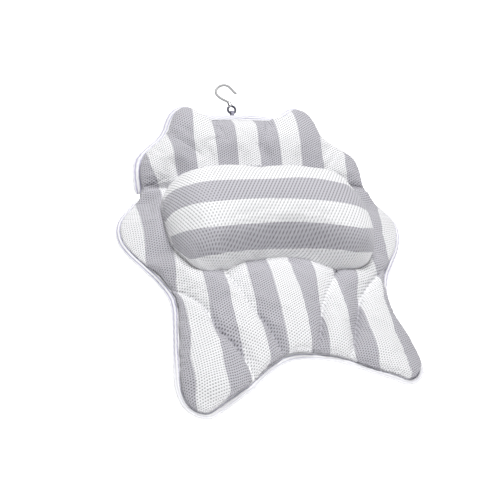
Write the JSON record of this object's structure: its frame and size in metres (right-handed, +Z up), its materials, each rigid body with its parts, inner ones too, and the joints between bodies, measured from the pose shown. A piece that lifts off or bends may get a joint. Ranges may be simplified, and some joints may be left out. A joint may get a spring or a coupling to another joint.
{
  "type": "bath pillow",
  "caption": "Folding bath pillow of striped air mesh: padded back and head panels, kidney-shaped neck roll, suction cups in eyelets and a swivelling hanging hook.",
  "frame": {"origin": "bottom centre of the part's box, on the plane of the lower panel's suction cups", "axes": "+X across the pillow, the right-hand side in the picture; +Y from the arched lower edge towards the head panel and hook; +Z up off the cups through the padding"},
  "size_m": [0.3662, 0.4708, 0.106],
  "materials": {
    "striped_mesh": "open air-mesh knit, grey and white stripes",
    "roll_mesh": "open air-mesh knit, grey and white stripes across",
    "white_mesh": "plain white knit",
    "binding_tape": "white woven edge binding",
    "filling": "matte spun fibre",
    "webbing": "woven tape",
    "cup_vinyl": "glossy milky vinyl",
    "eyelet_plastic": "smooth moulded",
    "swivel_metal": "dark satin",
    "hook_wire": "plated bright wire"
  },
  "bodies": {
    "lower_panel": {"lower_front_cover": "striped_mesh", "lower_pad": "filling", "lower_back_cover": "white_mesh", "lower_binding": "binding_tape", "neck_roll_cover": "roll_mesh", "neck_roll_fill": "filling", "fold_gusset": "white_mesh", "cup_eyelet_1": "eyelet_plastic", "cup_eyelet_2": "eyelet_plastic", "cup_eyelet_3": "eyelet_plastic", "cup_eyelet_4": "eyelet_plastic"},
    "head_panel": {"upper_front_cover": "striped_mesh", "upper_pad": "filling", "upper_back_cover": "white_mesh", "upper_binding": "binding_tape", "cup_eyelet_5": "eyelet_plastic", "cup_eyelet_6": "eyelet_plastic", "hanger_loop": "webbing"},
    "swivel": {"hook_swivel": "swivel_metal"},
    "hook": {"hook": "hook_wire"},
    "cup_1": {"suction_cup_1": "cup_vinyl"},
    "cup_2": {"suction_cup_2": "cup_vinyl"},
    "cup_3": {"suction_cup_3": "cup_vinyl"},
    "cup_4": {"suction_cup_4": "cup_vinyl"},
    "cup_5": {"suction_cup_5": "cup_vinyl"},
    "cup_6": {"suction_cup_6": "cup_vinyl"}
  },
  "joints": [
    {"name": "panel_fold", "type": "hinge", "parent": "lower_panel", "child": "head_panel", "pos_m": [0, 0.08658, 0.018], "axis": [1, 0, 0], "range_deg": [-25, 20]},
    {"name": "hook_swing", "type": "hinge", "parent": "head_panel", "child": "swivel", "pos_m": [-0.0095, 0.19769, 0.0665], "axis": [1, 0, 0], "range_deg": [-125, 80]},
    {"name": "hook_spin", "type": "hinge", "parent": "swivel", "child": "hook", "pos_m": [-0.0095, 0.20241, 0.0687], "axis": [-0.309, 0.8619, 0.4019], "continuous": true},
    {"name": "cup_1_spin", "type": "hinge", "parent": "lower_panel", "child": "cup_1", "pos_m": [0.128, 0.03858, 0.018], "axis": [0, 0, 1], "continuous": true},
    {"name": "cup_2_spin", "type": "hinge", "parent": "lower_panel", "child": "cup_2", "pos_m": [-0.128, 0.03858, 0.018], "axis": [0, 0, 1], "continuous": true},
    {"name": "cup_3_spin", "type": "hinge", "parent": "lower_panel", "child": "cup_3", "pos_m": [0.1, -0.16142, 0.018], "axis": [0, 0, 1], "continuous": true},
    {"name": "cup_4_spin", "type": "hinge", "parent": "lower_panel", "child": "cup_4", "pos_m": [-0.1, -0.16142, 0.018], "axis": [0, 0, 1], "continuous": true},
    {"name": "cup_5_spin", "type": "hinge", "parent": "head_panel", "child": "cup_5", "pos_m": [0.095, 0.13643, 0.04124], "axis": [0, -0.4226, 0.9063], "continuous": true},
    {"name": "cup_6_spin", "type": "hinge", "parent": "head_panel", "child": "cup_6", "pos_m": [-0.095, 0.13643, 0.04124], "axis": [0, -0.4226, 0.9063], "continuous": true}
  ]
}
